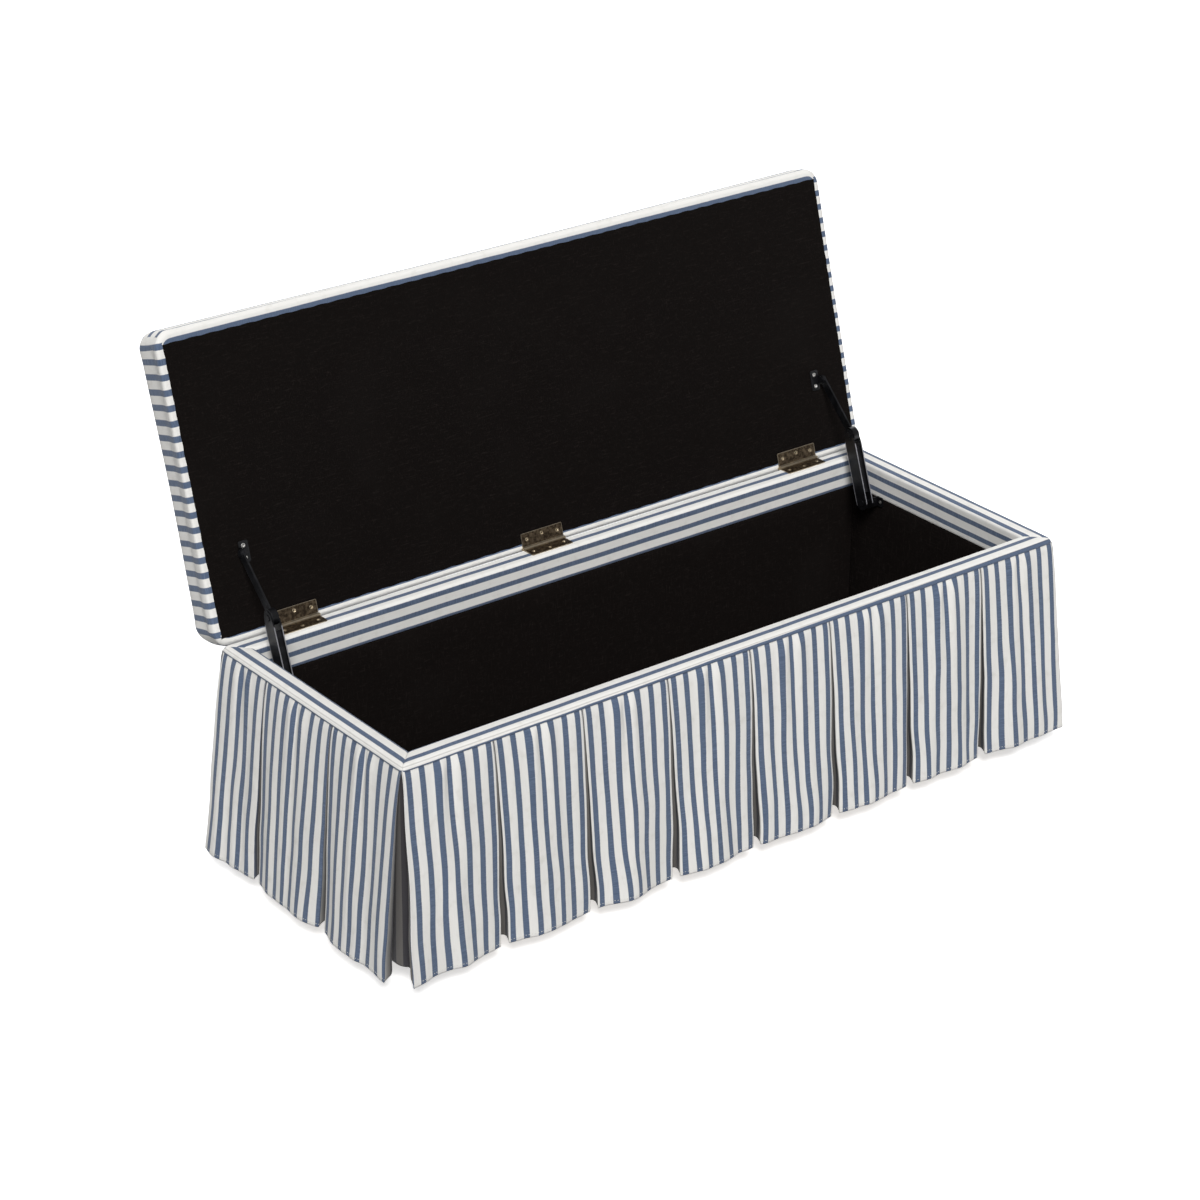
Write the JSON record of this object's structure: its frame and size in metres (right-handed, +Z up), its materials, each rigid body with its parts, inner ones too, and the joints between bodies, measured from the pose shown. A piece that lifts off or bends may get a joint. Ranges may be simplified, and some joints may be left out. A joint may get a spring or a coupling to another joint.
{
  "type": "upholstered storage bench",
  "caption": "Long upholstered storage bench: padded hinged lid on folding stays, padded rim, pleated skirt to the floor, dark lined interior.",
  "frame": {"origin": "on the floor, below the middle of the whole outline with the lid open", "axes": "+X along the bench to the right, +Y to the back where the lid is hinged, +Z up"},
  "size_m": [1.303, 0.6883, 0.7861],
  "materials": {
    "striped_cloth": "woven cotton ticking, cream with blue stripes, matte",
    "black_cloth": "plain black woven lining, matte",
    "foam": "open upholstery foam, matte",
    "plywood": "raw plywood",
    "pine": "raw planed pine",
    "foot_wood": "dark stained wood, satin",
    "glide": "matte",
    "antique_brass": "antique brass, mottled, satin",
    "black_steel": "black lacquered steel, satin",
    "steel": "zinc plated"
  },
  "bodies": {
    "box": {"rim_band_front": "striped_cloth", "rim_band_back": "striped_cloth", "rim_band_left": "striped_cloth", "rim_band_right": "striped_cloth", "skirt_front": "striped_cloth", "skirt_back": "striped_cloth", "skirt_left": "striped_cloth", "skirt_right": "striped_cloth", "lining_front": "black_cloth", "lining_back": "black_cloth", "lining_left": "black_cloth", "lining_right": "black_cloth", "lining_floor": "black_cloth", "rim_foam": "foam", "front_panel": "plywood", "back_panel": "plywood", "left_panel": "plywood", "right_panel": "plywood", "bottom_board": "plywood", "front_rail": "pine", "back_rail": "pine", "left_rail": "pine", "right_rail": "pine", "front_left_foot": "foot_wood", "front_right_foot": "foot_wood", "back_left_foot": "foot_wood", "back_right_foot": "foot_wood", "foot_glides": "glide", "left_hinge_box_leaf": "antique_brass", "middle_hinge_box_leaf": "antique_brass", "right_hinge_box_leaf": "antique_brass", "hinge_pins": "antique_brass", "hinge_box_screws": "antique_brass", "left_stay_box_bracket": "black_steel", "right_stay_box_bracket": "black_steel", "stay_box_rivets": "black_steel", "foot_screws": "steel", "stay_box_screws": "steel"},
    "lid": {"lid_board": "plywood", "lid_foam": "foam", "lid_cover": "striped_cloth", "lid_dust_cover": "black_cloth", "left_hinge_lid_leaf": "antique_brass", "middle_hinge_lid_leaf": "antique_brass", "right_hinge_lid_leaf": "antique_brass", "hinge_lid_screws": "antique_brass", "left_stay_lid_bracket": "black_steel", "right_stay_lid_bracket": "black_steel", "stay_lid_screws": "steel"},
    "left_lower": {"left_lower_arm": "black_steel", "left_elbow_rivet": "black_steel"},
    "left_upper": {"left_elbow_hub": "black_steel", "left_upper_arm": "black_steel", "left_lid_rivet": "black_steel"},
    "right_lower": {"right_lower_arm": "black_steel", "right_elbow_rivet": "black_steel"},
    "right_upper": {"right_elbow_hub": "black_steel", "right_upper_arm": "black_steel", "right_lid_rivet": "black_steel"}
  },
  "joints": [
    {"name": "lid_hinge", "type": "hinge", "parent": "box", "child": "lid", "pos_m": [0, 0.14583, 0.3517], "axis": [1, 0, 0], "range_deg": [0, 106.5]},
    {"name": "left_stay_foot", "type": "hinge", "parent": "box", "child": "left_lower", "pos_m": [-0.5535, 0.05983, 0.2937], "axis": [1, 0, 0], "range_deg": [0, 121.9]},
    {"name": "left_stay_elbow", "type": "hinge", "parent": "left_lower", "child": "left_upper", "pos_m": [-0.5535, 0.09757, 0.39915], "axis": [1, 0, 0], "range_deg": [-120.52, 0]},
    {"name": "right_stay_foot", "type": "hinge", "parent": "box", "child": "right_lower", "pos_m": [0.5535, 0.05983, 0.2937], "axis": [1, 0, 0], "range_deg": [0, 121.9]},
    {"name": "right_stay_elbow", "type": "hinge", "parent": "right_lower", "child": "right_upper", "pos_m": [0.5535, 0.09757, 0.39915], "axis": [1, 0, 0], "range_deg": [-120.52, 0]}
  ],
  "couplings": [
    {"joint": "left_stay_foot", "follows": "lid_hinge", "ratio": 1.1441},
    {"joint": "left_stay_elbow", "follows": "lid_hinge", "ratio": -1.1312},
    {"joint": "right_stay_foot", "follows": "lid_hinge", "ratio": 1.1441},
    {"joint": "right_stay_elbow", "follows": "lid_hinge", "ratio": -1.1312}
  ]
}
